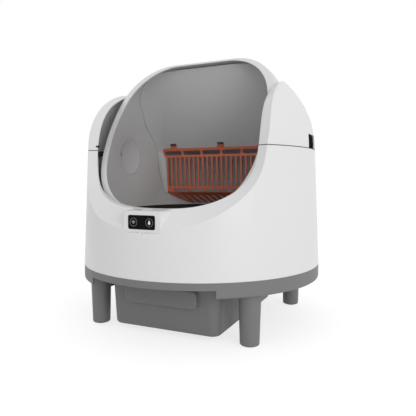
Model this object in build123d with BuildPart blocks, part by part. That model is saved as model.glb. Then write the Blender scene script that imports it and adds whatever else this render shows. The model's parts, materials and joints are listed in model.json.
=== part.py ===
from build123d import *
import os
from math import acos, atan2, cos, degrees, hypot, pi, radians, sin, sqrt, tan

# A self cleaning litter box. A wide drum with a slanted mouth turns about the X axis inside
# a round housing on four legs. Litter falls through a sieve into the chamber behind a
# partition, and clumps fall out of the mouth into a drawer under the deck.
# +X is to the right, the front faces -Y, +Z is up, and the origin is on the floor
# under the centre of the round body. All lengths are in millimetres.

# General allowances
seat_gap = 0.3
running_gap = 0.05
sliding_gap = 0.6
overrun = 12.0

# Round body
body_diameter = 540.0
seam_height = 132.0
parting_height = 383.0
seal_height = 1.4
shoulder_inset = 11.5
dome_base = 386.0
dome_rise = 218.5
shell_wall = 3.0

# Opening of the housing and the sloping band around it
opening_half_width = 185.5
lip_height = 261.5
opening_rear = 105.0
opening_corner = 62.0
opening_power = 2.8
band_front_depth = 47.0
band_bend_depth = 15.0
band_side_depth = 34.0
band_top_depth = 18.0
band_front_reach = 46.0
band_bend_reach = 11.5
band_side_reach = 33.0
lip_return = 12.0
drum_gap = 3.0

# Finger notches of the cover
notch_width = 58.0
notch_height = 29.0
notch_round = 6.0

# Base ring, deck and legs
base_bottom = 102.0
base_wall = 4.0
deck_top = 122.0
deck_thickness = 4.0
front_gap_half_width = 137.0
front_gap_height = 118.0
waste_opening_half_width = 100.0
waste_opening_half_length = 140.0
waste_opening_round = 20.0
leg_spread = 175.0
front_leg_place = -157.0
rear_leg_place = 163.0
leg_top_radius = 22.0
leg_bottom_radius = 19.0
leg_edge_round = 3.5
rib_length = 84.0
rib_width = 18.0
rib_drop = 27.0
foot_pad_radius = 14.0
foot_pad_height = 3.0
foot_pad_proud = 1.0

# Waste drawer and its rails
drawer_bottom = 13.0
drawer_top = 112.0
drawer_bottom_half_width = 121.0
drawer_front = -187.0
drawer_rear = 160.0
drawer_corner = 20.0
drawer_draft = 3.3
drawer_wall = 2.5
drawer_edge_round = 7.0
flange_reach = 6.0
flange_thickness = 3.0
handle_half_width = 82.0
handle_bottom = 67.0
handle_top = 104.0
handle_proud = 15.0
handle_corner = 9.0
handle_wall = 2.5
rail_wall = 3.5
rail_ledge = 5.0
rail_length = 330.0

# Drum
drum_axis_height = 376.0
drum_radius = 217.0
drum_half_width = 194.5
drum_corner = 119.0
drum_hub_half_width = 208.0
drum_wall = 2.0
liner_half_width = 186.0
liner_corner = 121.0
liner_hub_half_width = 204.0
liner_wall = 2.0
rim_overhang = 2.5
mouth_tilt = 28.9
mouth_distance = 96.0
mouth_bulge = 10.7
rim_depth = 5.0
mat_thickness = 3.0
mat_top = 250.0

# Partition and sieve
partition_foot = (116.0, 402.0)
partition_head = (22.0, 584.0)
partition_thickness = 2.5
partition_fillet = 20.0
partition_head_fillet = 80.0
sieve_half_width = 163.0
sieve_head_half_width = 171.0
sieve_thickness = 3.0
sieve_knee = (120.0, 390.0)
sieve_waist = (127.0, 286.0)
sieve_toe = (164.0, 257.0)
sieve_shoulder_low = 377.0
bar_pitch = 13.4
bar_width = 4.7
bar_gap_count = 24
bar_top = 378.0
bar_bottom = 300.0
top_slot_low = 384.0
top_slot_high = 395.0
top_slot_pitch = 56.5
top_slot_post = 6.0
slot_round = 3.2
low_slot_low = 286.0
low_slot_high = 293.0
low_slot_pitch = 49.0
low_slot_post = 5.0
toe_slot_front = 134.0
toe_slot_pitch = 19.6
toe_slot_width = 12.0
toe_slot_count = 14
toe_slot_slant = 20.0
sieve_edge = 6.0
tab_width = 18.0
tab_spread = 138.0
tab_rise = 4.0
tab_hook = 3.0
tab_slot_height = 9.5
tab_thickness = 2.2

# Hubs, journals, bearings and posts
hub_radius = 46.0
hub_rim = 2.0
hub_face = 216.0
hub_floor_thickness = 3.0
hub_hole_radius = 4.5
hub_hole_place = 27.0
hub_hole_rise = 3.0
hub_screw_circle = 27.0
hub_screw_count = 4
hub_screw_depth = 4.0
screw_radius = 2.0
screw_head_radius = 3.8
screw_head_height = 2.2
journal_flange_radius = 36.0
journal_flange_thickness = 4.5
axle_radius = 18.0
axle_end = 247.0
bush_wall = 3.0
post_inner = 228.0
post_thickness = 16.0
post_foot_half_width = 46.0
post_head_half_width = 31.0
post_head_rise = 18.0
post_window_half_width = 26.0
post_flange_reach = 6.0
post_flange_height = 6.0

# Drum drive
gear_module = 3.0
ring_teeth = 76
pinion_teeth = 18
gear_inner = 192.0
gear_outer = 202.0
pinion_inner = 195.2
gear_backlash = 0.35
pressure_angle = 20.0
shaft_radius = 3.0
gearbox_radius = 22.0
gearbox_length = 19.0
motor_radius = 18.0
motor_length = 22.0
bracket_thickness = 3.0
bracket_half_width = 27.0
bracket_foot = 24.0
gearbox_boss_radius = 9.0

# Control panel, electronics and catches
pad_half_width = 38.0
pad_low = 219.5
pad_high = 260.0
pad_corner = 5.0
pad_flat = 3.0
pad_side_flare = 14.0
glass_width = 58.0
glass_height = 26.0
glass_thickness = 2.0
glass_corner = 4.0
glass_centre_height = 238.6
board_thickness = 1.6
board_margin = 2.5
board_pocket = 6.0
sensor_radius = 2.4
sensor_body_radius = 3.0
sensor_seat = 1.2
sensor_length = 1.0
sensor_inset = 4.5
sensor_height = 391.0
catch_place = -86.0
catch_length = 20.0
catch_depth = 20.0
catch_drop = 9.0
catch_rise = 1.5
inlet_width = 16.0
inlet_height = 13.0
inlet_depth = 14.0
inlet_radius = 3.2
inlet_place = 70.0
inlet_centre_height = 156.0
main_board_width = 96.0
main_board_length = 44.0
main_board_place = 198.0
standoff_radius = 3.0
standoff_height = 6.0
chute_wall = 2.0
chute_flare = 4.0
chute_top = 205.0

# Values that follow from the sizes above
seam_radius = body_diameter / 2
parting_radius = seam_radius - shoulder_inset
axis_point = (0, 0, drum_axis_height)
drum_axis = Axis(axis_point, (1, 0, 0))
drum_front_plane = Plane(axis_point, x_dir=(1, 0, 0), z_dir=(0, -1, 0))
axle_plane = Plane(axis_point, x_dir=(0, 1, 0), z_dir=(1, 0, 0))
ring_pitch_radius = gear_module * ring_teeth / 2
pinion_pitch_radius = gear_module * pinion_teeth / 2
pinion_height = drum_axis_height - ring_pitch_radius - pinion_pitch_radius
pinion_plane = Plane((0, 0, pinion_height), x_dir=(0, 1, 0), z_dir=(1, 0, 0))
liner_radius = drum_radius - drum_wall - seat_gap - seat_gap / 3 * 2
housing_top = parting_height - seal_height
sensor_place = opening_half_width + sensor_inset
deck_bottom = deck_top - deck_thickness

os.makedirs("parts", exist_ok=True)


def finish(part, name):
    # Labels one finished piece and writes its file.
    part.label = name
    export_step(part, "parts/" + name + ".step")


def shell_radius(height):
    # Radius of the outer skin below the dome.
    share = (height - seam_height) / (dome_base - seam_height)
    return seam_radius - shoulder_inset * share


def dome_height(radius):
    # Height of the dome's skin over a point this far from the centre.
    return dome_base + dome_rise * sqrt(1 - (radius / parting_radius) ** 2)


def body_solid(inset, foot):
    # The round body as one solid, moved inwards by the inset.
    with BuildPart() as solid:
        with BuildSketch(Plane.XZ):
            with BuildLine():
                floor_line = Line((0, foot), (seam_radius - inset, foot))
                flank = Line(floor_line @ 1, (parting_radius - inset, dome_base))
                dome = EllipticalCenterArc(
                    (0, dome_base), parting_radius - inset, dome_rise - inset, arc_size=90
                )
                Line(dome @ 1, floor_line @ 0)
            make_face()
        revolve(axis=Axis.Z)
    return solid.part


def drum_solid(half_width, radius, corner, hub_half_width):
    # A wide drum about the X axis. Its shoulders run out into shallow cones that end at the
    # flat discs of the hubs.
    fall = radius - corner - hub_radius
    run = hub_half_width - (half_width - corner)
    turn = degrees(acos(corner / hypot(run, fall)) - atan2(fall, run))
    with BuildPart() as solid:
        with BuildSketch(drum_front_plane):
            with BuildLine():
                crown = Line((0, radius), (half_width - corner, radius))
                shoulder = JernArc(crown @ 1, (1, 0), corner, turn - 90)
                cone = Line(shoulder @ 1, (hub_half_width, hub_radius))
                disc = Line(cone @ 1, (hub_half_width, 0))
                axle_line = Line(disc @ 1, (0, 0))
                Line(axle_line @ 1, crown @ 0)
            make_face()
            mirror(about=Plane.YZ)
        revolve(axis=drum_axis)
    return solid.part


def outer_drum(inset):
    return drum_solid(
        drum_half_width - inset, drum_radius - inset, drum_corner - inset, drum_hub_half_width - inset
    )


def liner_drum(inset):
    return drum_solid(
        liner_half_width - inset,
        liner_radius - inset,
        liner_corner - inset,
        liner_hub_half_width - inset,
    )


def mouth_solid(inset):
    # Everything behind the mouth: a very large cylinder along X whose front bulges a little.
    half_chord = sqrt(drum_radius**2 - mouth_distance**2)
    mouth_radius = (half_chord**2 + mouth_bulge**2) / (2 * mouth_bulge)
    away = mouth_distance + mouth_bulge - mouth_radius
    tilt = radians(mouth_tilt)
    with BuildPart() as solid:
        with BuildSketch(Plane.YZ):
            with Locations((-away * cos(tilt), drum_axis_height + away * sin(tilt))):
                Circle(mouth_radius - inset)
        extrude(amount=drum_hub_half_width + overrun, both=True)
    return solid.part


def drum_room(gap):
    # The space that the turning drum needs.
    return outer_drum(-gap)


# The opening: a U seen from the front, with a rounded rectangle for its plan
def u_point(share):
    # A point on the right half of the U, from its lowest point to where its side is upright.
    turn = share * pi / 2
    across = opening_half_width * sin(turn) ** (2 / opening_power)
    height = dome_base - (dome_base - lip_height) * cos(turn) ** (2 / opening_power)
    return across, height


def wall_direction(station):
    # The way from the opening into the moulding, level with the front or in plan. Station 0 is
    # the lowest point of the U, 1 the top of its curve, 2 to 3 the corner of the plan.
    step_share = 1 / 1000
    if station <= 0:
        return Vector(0, 0, -1)
    if station < 1:
        before = u_point(station - step_share)
        after = u_point(min(1, station + step_share))
        return Vector(after[1] - before[1], 0, before[0] - after[0]).normalized()
    if station <= 2:
        return Vector(1, 0, 0)
    if station <= 3:
        turn = (station - 2) * pi / 2
        return Vector(cos(turn), sin(turn), 0)
    return Vector(0, 1, 0)


def inset_u_point(share, inset):
    # The same point of the U, moved into the moulding by the inset.
    across, height = u_point(share)
    away = wall_direction(share)
    return across + away.X * inset, height + away.Z * inset


def opening_solid(inset):
    # What is cut out of the body for the opening.
    reach = seam_radius + overrun
    height = dome_base + dome_rise + overrun
    u_shares = [0, 1 / 6, 2 / 6, 3 / 6, 4 / 6, 5 / 6, 1]
    with BuildPart() as solid:
        with BuildSketch(Plane.XZ.offset(reach)):
            with BuildLine():
                low = [inset_u_point(share, inset) for share in u_shares]
                edge = Spline(*low, tangents=[(1, 0), (0, 1)])
                side = Line(edge @ 1, (opening_half_width + inset, height))
                top = Line(side @ 1, (0, height))
                Line(top @ 1, edge @ 0)
            make_face()
            mirror(about=Plane.YZ)
        extrude(amount=-reach - opening_rear - inset)
        with BuildSketch(Plane.XY):
            with Locations((0, (opening_rear + inset - reach - overrun) / 2)):
                plan = Rectangle(
                    2 * (opening_half_width + inset), opening_rear + inset + reach + overrun
                )
            fillet(plan.vertices().group_by(Axis.Y)[-1], opening_corner + inset)
        extrude(amount=height + overrun, mode=Mode.INTERSECT)
    return solid.part


def edge_point(station):
    # A point on the sharp edge of the opening. Stations 0 to 1 run up the U, 1 to 2 over the
    # shoulder, 2 to 3 round the corner of the plan and 3 to 4 along the rear.
    if station <= 1:
        across, height = u_point(station)
        return Vector(across, -sqrt(shell_radius(height) ** 2 - across**2), height)
    flank_start = -sqrt(parting_radius**2 - opening_half_width**2)
    flank_end = opening_rear - opening_corner
    if station <= 2:
        across = opening_half_width
        along = flank_start + (flank_end - flank_start) * (station - 1)
    elif station <= 3:
        turn = (station - 2) * pi / 2
        across = opening_half_width - opening_corner + opening_corner * cos(turn)
        along = flank_end + opening_corner * sin(turn)
    else:
        across = (opening_half_width - opening_corner) * (4 - station)
        along = opening_rear
    return Vector(across, along, dome_height(hypot(across, along)))


def skin_direction(point):
    # The outward normal of the body's skin.
    if point.Z <= dome_base:
        rise = shoulder_inset / (dome_base - seam_height)
        radius = hypot(point.X, point.Y)
        return Vector(point.X / radius, point.Y / radius, rise).normalized()
    flat = parting_radius**2
    upright = (point.Z - dome_base) / dome_rise**2
    return Vector(point.X / flat, point.Y / flat, upright).normalized()


def onto_skin(point):
    # Moves a point straight in or out until it lies on the body's skin.
    radius = hypot(point.X, point.Y)
    if point.Z <= dome_base:
        share = shell_radius(point.Z) / radius
        return Vector(point.X * share, point.Y * share, point.Z)
    rise = point.Z - dome_base
    share = sqrt((radius / parting_radius) ** 2 + (rise / dome_rise) ** 2)
    return Vector(point.X / share, point.Y / share, dome_base + rise / share)


def band_widths(station):
    # How far the band reaches down the wall of the opening and along the outer skin.
    if station <= 1:
        start_share = (1 - station) ** 2
        bend_share = 2 * station * (1 - station)
        end_share = station**2
        depth = (
            band_front_depth * start_share + band_bend_depth * bend_share + band_side_depth * end_share
        )
        reach = (
            band_front_reach * start_share + band_bend_reach * bend_share + band_side_reach * end_share
        )
        return depth, reach
    share = min(1, (station - 1) / (3 / 4))
    depth = band_side_depth + (band_top_depth - band_side_depth) * share
    reach = band_side_reach + (band_top_depth - band_side_reach) * share
    return depth, reach


def band_section(station, inset):
    # The triangle that cuts the band at one station of the opening's edge.
    step_share = 1 / 1000
    point = edge_point(station)
    if station <= 0:
        along = Vector(1, 0, 0)
    elif station >= 4:
        along = Vector(-1, 0, 0)
    else:
        along = (edge_point(station + step_share) - edge_point(station - step_share)).normalized()
    wall = wall_direction(station)
    skin = skin_direction(point)
    down_wall = along.cross(wall).normalized()
    if down_wall.dot(skin) > 0:
        down_wall = down_wall * -1
    down_skin = along.cross(skin).normalized()
    if down_skin.dot(wall) < 0:
        down_skin = down_skin * -1
    depth, reach = band_widths(station)
    lip = point + down_wall * depth
    crease = onto_skin(point + down_skin * reach)
    across = (crease - lip).normalized()
    inward = along.cross(across).normalized()
    if inward.dot(skin) > 0:
        inward = inward * -1
    lip = lip + inward * inset - across * overrun
    crease = crease + inward * inset + across * overrun
    apex = point - inward * (2 * overrun)
    return Wire([Edge.make_line(lip, crease), Edge.make_line(crease, apex), Edge.make_line(apex, lip)])


def band_solids(inset):
    # The wedges that cut the sloping band: up the U and over the shoulder, round the corner,
    # and along the rear, each on both sides.
    runs = [
        [0, 1 / 4, 1 / 2, 0.7, 0.85, 1, 5 / 4, 3 / 2, 7 / 4, 2],
        [2, 2.2, 2.4, 2.6, 2.8, 3],
        [3, 3.5, 4],
    ]
    wedges = []
    for run in runs:
        wedge = Solid.make_loft([band_section(station, inset) for station in run])
        wedges.append(wedge)
        wedges.append(wedge.mirror(Plane.YZ))
    return wedges


def opened_body(inset, foot):
    # The body with its opening and band, as a solid, moved inwards by the inset.
    opening = opening_solid(inset)
    with BuildPart() as solid:
        add(body_solid(inset, foot))
        add(opening, mode=Mode.SUBTRACT)
        for wedge in band_solids(inset):
            add(wedge, mode=Mode.SUBTRACT)
    return solid.part


# The housing and the cover come from one thin shell
with BuildPart() as shell:
    add(opened_body(0, seam_height))
    add(opened_body(shell_wall, seam_height - overrun), mode=Mode.SUBTRACT)
    # The drum's room opens the inside, and the lip turns in only a little at the front
    add(drum_room(drum_gap), mode=Mode.SUBTRACT)
    lip_front = shell_radius(lip_height) - band_front_depth - lip_return
    with BuildSketch(Plane.XY.offset(lip_height - shell_wall - overrun)):
        Ellipse(opening_half_width + band_front_depth + overrun, lip_front)
    extrude(amount=dome_base - lip_height + overrun, mode=Mode.SUBTRACT)

# Lower housing: the shell up to the parting line, with the pad of the control panel
glass_front = pad_flat - shell_radius(glass_centre_height)
inlet_face = sqrt(shell_radius(inlet_centre_height) ** 2 - inlet_place**2)
pad_depth = band_front_depth + lip_return / 2
with BuildPart() as pad:
    for pad_place, flare in ((seam_radius, 0), (seam_radius - pad_depth, pad_side_flare)):
        with BuildSketch(Plane.XZ.offset(pad_place)):
            with Locations((0, (pad_low + pad_high) / 2)):
                RectangleRounded(2 * (pad_half_width + flare), pad_high - pad_low, pad_corner)
    loft()
    add(body_solid(0, seam_height), mode=Mode.INTERSECT)
    # The flat that carries the glass
    with BuildSketch(Plane.XZ.offset(-glass_front)):
        Rectangle(4 * pad_half_width, 4 * pad_high)
    extrude(amount=pad_flat + overrun, mode=Mode.SUBTRACT)
with BuildPart() as lower_housing:
    add(shell.part)
    with BuildSketch(Plane.XY.offset(seam_height)):
        Circle(seam_radius + overrun)
    extrude(amount=housing_top - seam_height, mode=Mode.INTERSECT)
    # The shell gives way to the pad's flat
    with BuildSketch(Plane.XZ.offset(-glass_front)):
        with Locations((0, (pad_low + pad_high) / 2)):
            flat_outline = Rectangle(2 * pad_half_width, pad_high - pad_low)
        fillet(flat_outline.vertices(), pad_corner)
    extrude(amount=pad_flat + overrun, mode=Mode.SUBTRACT)
    add(pad.part)
    # The pocket of the glass, and the deeper pocket of its circuit board
    with BuildSketch(Plane.XZ.offset(-glass_front - glass_thickness)):
        with Locations((0, glass_centre_height)):
            glass_pocket = Rectangle(glass_width + seat_gap * 2, glass_height + seat_gap * 2)
        fillet(glass_pocket.vertices(), glass_corner)
    extrude(amount=glass_thickness + overrun, mode=Mode.SUBTRACT)
    with BuildSketch(Plane.XZ.offset(-glass_front - board_pocket)):
        with Locations((0, glass_centre_height)):
            Rectangle(glass_width - board_margin * 2, glass_height - board_margin * 2)
    extrude(amount=board_pocket, mode=Mode.SUBTRACT)
    # The square hole of the power inlet at the rear
    with BuildSketch(Plane.XZ.offset(-inlet_face + inlet_depth)):
        with Locations((inlet_place, inlet_centre_height)):
            Rectangle(inlet_width + seat_gap * 2, inlet_height + seat_gap * 2)
    extrude(amount=-inlet_depth - overrun, mode=Mode.SUBTRACT)
finish(lower_housing.part, "lower_housing")

# Upper cover: the two shoulders and the rear hood in one moulding, with a finger notch
# in its lower edge on each side
with BuildPart() as upper_cover:
    add(shell.part)
    with BuildSketch(Plane.XY.offset(parting_height)):
        Circle(seam_radius + overrun)
    extrude(amount=dome_base + dome_rise - parting_height, mode=Mode.INTERSECT)
    with BuildSketch(Plane.YZ):
        with Locations((0, parting_height)):
            notch = Rectangle(notch_width, 2 * notch_height)
        fillet(notch.vertices().group_by(Axis.Y)[-1], notch_round)
    extrude(amount=seam_radius + overrun, both=True, mode=Mode.SUBTRACT)
    # The hole of the presence sensor in the left part of the band
    with BuildSketch(Plane.XZ):
        with Locations((-sensor_place, sensor_height)):
            Circle(sensor_radius + seat_gap)
    extrude(amount=seam_radius, mode=Mode.SUBTRACT)
finish(upper_cover.part, "upper_cover")

# Seal: a dark strip between the housing and the cover
with BuildPart() as cover_seal:
    add(shell.part)
    with BuildSketch(Plane.XY.offset(housing_top)):
        Circle(seam_radius + overrun)
    extrude(amount=seal_height, mode=Mode.INTERSECT)
finish(cover_seal.part, "cover_seal")

# Base ring: the grey rim of the body with the deck in it
with BuildPart() as base_ring:
    with BuildSketch(Plane.XZ):
        with BuildLine():
            ring_outline = Polyline(
                (0, deck_bottom),
                (seam_radius - base_wall, deck_bottom),
                (seam_radius - base_wall, base_bottom),
                (seam_radius, base_bottom),
                (seam_radius, seam_height),
                (seam_radius - base_wall, seam_height),
                (seam_radius - base_wall, deck_top),
                (0, deck_top),
                close=True,
            )
        make_face()
    revolve(axis=Axis.Z)
    rim_edge = base_ring.edges().filter_by(GeomType.CIRCLE).group_by(Axis.Z)[0].sort_by(SortBy.LENGTH)[-1]
    fillet(rim_edge, base_wall - seat_gap)
    # The raised lower edge over the drawer
    with BuildSketch(Plane.XZ):
        with Locations((0, front_gap_height - overrun)):
            Rectangle(2 * front_gap_half_width, 2 * overrun)
    extrude(amount=seam_radius + overrun, mode=Mode.SUBTRACT)
    # The waste opening in the deck
    with BuildSketch(Plane.XY.offset(deck_bottom)):
        waste = Rectangle(2 * waste_opening_half_width, 2 * waste_opening_half_length)
        fillet(waste.vertices(), waste_opening_round)
    extrude(amount=deck_thickness, mode=Mode.SUBTRACT)
finish(base_ring.part, "base_ring")

# Legs: round and tapered, each with a rib that leans against the underside of the deck
leg_places = {
    "front_left_leg": (-leg_spread, front_leg_place, 1),
    "front_right_leg": (leg_spread, front_leg_place, 1),
    "rear_left_leg": (-leg_spread, rear_leg_place, -1),
    "rear_right_leg": (leg_spread, rear_leg_place, -1),
}
leg_foot = foot_pad_proud
for leg_name, (leg_x, leg_y, rib_side) in leg_places.items():
    with BuildPart() as leg:
        with BuildSketch(Plane.XY.offset(leg_foot)):
            with Locations((leg_x, leg_y)):
                Circle(leg_bottom_radius)
        with BuildSketch(Plane.XY.offset(base_bottom)):
            with Locations((leg_x, leg_y)):
                Circle(leg_top_radius)
        loft()
        fillet(leg.edges().group_by(Axis.Z)[0], leg_edge_round)
        with BuildSketch(Plane.XY.offset(base_bottom)):
            with Locations((leg_x, leg_y)):
                Circle(leg_top_radius)
        extrude(amount=deck_bottom - base_bottom)
        with BuildSketch(Plane.YZ.offset(leg_x)):
            with BuildLine():
                Polyline(
                    (leg_y, deck_bottom),
                    (leg_y, base_bottom - rib_drop),
                    (leg_y + rib_side * rib_length, base_bottom - rib_drop),
                    (leg_y + rib_side * rib_length, deck_bottom),
                    close=True,
                )
            make_face()
        extrude(amount=rib_width / 2, both=True)
        with BuildSketch(Plane.XY):
            with Locations((leg_x, leg_y)):
                Circle(foot_pad_radius + seat_gap)
        extrude(amount=foot_pad_height, mode=Mode.SUBTRACT)
    finish(leg.part, leg_name)

with BuildPart() as foot_pads:
    for leg_x, leg_y, rib_side in leg_places.values():
        with BuildSketch(Plane.XY):
            with Locations((leg_x, leg_y)):
                Circle(foot_pad_radius)
        extrude(amount=foot_pad_height)
finish(foot_pads.part, "foot_pads")

# Waste drawer: a drafted tray with side flanges and a pull whose hollow opens downwards
drawer_length = drawer_rear - drawer_front
drawer_centre = (drawer_rear + drawer_front) / 2
drawer_height = drawer_top - drawer_bottom
with BuildPart() as tray_block:
    with BuildSketch(Plane.XY.offset(drawer_bottom)):
        with Locations((0, drawer_centre)):
            tray_plan = Rectangle(2 * drawer_bottom_half_width, drawer_length)
        fillet(tray_plan.vertices(), drawer_corner)
    extrude(amount=drawer_height, taper=-drawer_draft)
    fillet(tray_block.edges().group_by(Axis.Z)[0], drawer_edge_round)
with BuildPart() as tray_hollow:
    with BuildSketch(Plane.XY.offset(drawer_bottom + drawer_wall)):
        with Locations((0, drawer_centre)):
            hollow_plan = Rectangle(
                2 * (drawer_bottom_half_width - drawer_wall), drawer_length - 2 * drawer_wall
            )
        fillet(hollow_plan.vertices(), drawer_corner - drawer_wall)
    extrude(amount=drawer_height, taper=-drawer_draft)
    fillet(tray_hollow.edges().group_by(Axis.Z)[0], drawer_edge_round - drawer_wall)
drawer_top_half_width = drawer_bottom_half_width + drawer_height * tan(radians(drawer_draft))
flange_outer = drawer_top_half_width + flange_reach
rail_top = drawer_top - flange_thickness - sliding_gap / 2
with BuildPart() as waste_drawer:
    add(tray_block.part)
    with BuildSketch(Plane.XY.offset(drawer_top - flange_thickness)):
        with Locations((0, drawer_centre)):
            flange_plan = Rectangle(2 * flange_outer, drawer_length - 2 * drawer_corner)
        fillet(flange_plan.vertices(), flange_reach / 2)
    extrude(amount=flange_thickness)
    # The pull's outside, raised from the leaning front
    with BuildSketch(Plane.XZ.offset(-drawer_front)):
        with Locations((0, (handle_bottom + handle_top) / 2)):
            pull_outline = Rectangle(2 * handle_half_width, handle_top - handle_bottom)
        fillet(pull_outline.vertices(), handle_corner)
    extrude(amount=handle_proud)
    fillet(
        waste_drawer.faces().sort_by(Axis.Y)[0].edges(),
        handle_proud / 4,
    )
    add(tray_hollow.part, mode=Mode.SUBTRACT)
    # The finger hollow behind the pull, open below
    hollow_rear = drawer_front - (handle_top - drawer_bottom) * tan(radians(drawer_draft))
    hollow_front = drawer_front - handle_proud + handle_wall
    with BuildSketch(Plane.XY.offset(handle_bottom - overrun / 2)):
        with Locations((0, (hollow_rear + hollow_front) / 2)):
            Rectangle(2 * (handle_half_width - handle_corner), hollow_rear - hollow_front)
    extrude(amount=handle_top - handle_bottom - handle_wall + overrun / 2, mode=Mode.SUBTRACT)
finish(waste_drawer.part, "waste_drawer")

# Drawer rails: angles under the deck that carry the drawer's flanges
for rail_name, side in (("left_drawer_rail", -1), ("right_drawer_rail", 1)):
    rail_inner = flange_outer + sliding_gap
    with BuildPart() as rail:
        with BuildSketch(Plane.XZ.offset(rail_length / 2)):
            with BuildLine():
                Polyline(
                    (side * rail_inner, deck_bottom),
                    (side * rail_inner, rail_top),
                    (side * (rail_inner - rail_ledge), rail_top),
                    (side * (rail_inner - rail_ledge), rail_top - rail_wall),
                    (side * (rail_inner + rail_wall), rail_top - rail_wall),
                    (side * (rail_inner + rail_wall), deck_bottom),
                    close=True,
                )
            make_face()
        extrude(amount=-rail_length)
    finish(rail.part, rail_name)

# Waste chute: a collar on the deck, cut to follow the drum
with BuildPart() as waste_chute:
    with BuildSketch(Plane.XY.offset(deck_top)):
        chute_plan = Rectangle(
            2 * (waste_opening_half_width + chute_flare), 2 * (waste_opening_half_length + chute_flare)
        )
        fillet(chute_plan.vertices(), waste_opening_round)
        offset(amount=-chute_wall, mode=Mode.SUBTRACT)
    extrude(amount=chute_top - deck_top)
    add(drum_room(drum_gap), mode=Mode.SUBTRACT)
finish(waste_chute.part, "waste_chute")

# Drum: an outer shell, a liner inside it and the rim that joins them round the mouth
with BuildPart() as drum_shell:
    add(outer_drum(0))
    add(outer_drum(drum_wall), mode=Mode.SUBTRACT)
    add(mouth_solid(rim_depth + seat_gap), mode=Mode.INTERSECT)
    with BuildSketch(axle_plane):
        Circle(hub_radius + seat_gap)
    extrude(amount=drum_hub_half_width + overrun, both=True, mode=Mode.SUBTRACT)
finish(drum_shell.part, "drum_shell")

with BuildPart() as drum_liner:
    add(liner_drum(0))
    add(liner_drum(liner_wall), mode=Mode.SUBTRACT)
    add(mouth_solid(rim_depth + seat_gap), mode=Mode.INTERSECT)
    with BuildSketch(axle_plane):
        Circle(hub_radius + seat_gap)
    extrude(amount=drum_hub_half_width, both=True, mode=Mode.SUBTRACT)
finish(drum_liner.part, "drum_liner")

with BuildPart() as mouth_rim:
    add(outer_drum(0))
    add(
        drum_solid(
            liner_half_width - liner_wall - rim_overhang,
            liner_radius - liner_wall,
            liner_corner - liner_wall,
            liner_hub_half_width - liner_wall - rim_overhang,
        ),
        mode=Mode.SUBTRACT,
    )
    add(mouth_solid(0), mode=Mode.INTERSECT)
    add(mouth_solid(rim_depth), mode=Mode.SUBTRACT)
finish(mouth_rim.part, "mouth_rim")

# Partition: a leaning panel whose sides curl forward to meet the liner, more and more
# towards its head, with two wings that run down beside the sieve
inside_room = liner_drum(liner_wall + seat_gap)


def slope_plane(low, high):
    # The plane across a run of the profile, at its lower end. Its Y faces the rear.
    rise = Vector(0, high[0] - low[0], high[1] - low[1]).normalized()
    return Plane((0, low[0], low[1]), x_dir=(1, 0, 0), z_dir=rise)


def run_length(low, high):
    return hypot(high[0] - low[0], high[1] - low[1])


def liner_wall_place(distance):
    # How far the liner's inner wall stands from the middle, this far from the drum's axis.
    corner = liner_corner - liner_wall
    corner_across = liner_half_width - liner_corner
    corner_away = liner_radius - liner_corner
    fall = corner_away - hub_radius
    run = liner_hub_half_width - liner_wall - corner_across
    lean = acos(corner / hypot(run, fall)) - atan2(fall, run)
    cone_start = corner_away + corner * sin(lean)
    if distance > cone_start:
        return corner_across + sqrt(max(0, corner**2 - (distance - corner_away) ** 2))
    cone_share = (cone_start - distance) / (cone_start - hub_radius)
    cone_across = corner_across + corner * cos(lean)
    return cone_across + (corner_across + run - cone_across) * cone_share


def curl_place(plane, curl):
    # Where a curl of this radius has its middle so that it runs from the panel into the
    # liner's wall, and how far it turns, found by halving.
    steps = 60

    def nearest(across):
        best = None
        for step in range(steps + 1):
            front = 2 * curl * step / steps
            point = plane.origin - plane.y_dir * front
            wall = liner_wall_place(hypot(point.Y, point.Z - drum_axis_height))
            found = (hypot(wall - across, front - curl), wall, front)
            best = found if best is None or found < best else best
        return best

    inner = 0
    outer = liner_half_width
    for halving in range(steps // 2):
        across = (inner + outer) / 2
        room, wall, front = nearest(across)
        if room > curl and across < wall:
            inner = across
        else:
            outer = across
    return across, degrees(atan2(wall - across, curl - front))


def curled_section(plane, curl):
    # The panel and its two curls as one outline of even thickness, across the panel.
    across, turn = curl_place(plane, curl)
    with BuildSketch() as section:
        with BuildLine():
            Line((-across, partition_thickness), (across, partition_thickness))
            Line((-across, 0), (across, 0))
            for side in (-1, 1):
                inside = JernArc((side * across, 0), (side, 0), curl, -side * turn)
                outside = JernArc(
                    (side * across, partition_thickness),
                    (side, 0),
                    curl + partition_thickness,
                    -side * turn,
                )
                Line(inside @ 1, outside @ 1)
        make_face()
    return section.sketch


def sieve_outline(gap):
    # The sieve seen from the front: upright sides that step out to a wider head.
    low = sieve_toe[1] - overrun
    high = partition_foot[1] + overrun
    step = sieve_head_half_width - sieve_half_width
    right_side = [
        (sieve_half_width + gap, low),
        (sieve_half_width + gap, sieve_shoulder_low - gap),
        (sieve_head_half_width + gap, sieve_shoulder_low - gap + step),
        (sieve_head_half_width + gap, high),
    ]
    return right_side + [(-across, height) for across, height in reversed(right_side)]


def profile_strip(points, thickness, half_width):
    # A strip that follows a bent profile seen from the side, its thickness to the rear.
    with BuildPart() as strip:
        with BuildSketch(Plane.YZ):
            with BuildLine() as path:
                Polyline(*points)
            with BuildLine() as back:
                offset(path.line, amount=thickness, side=Side.RIGHT, closed=True)
            make_face(back.edges())
        extrude(amount=half_width, both=True)
    return strip.part


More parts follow.
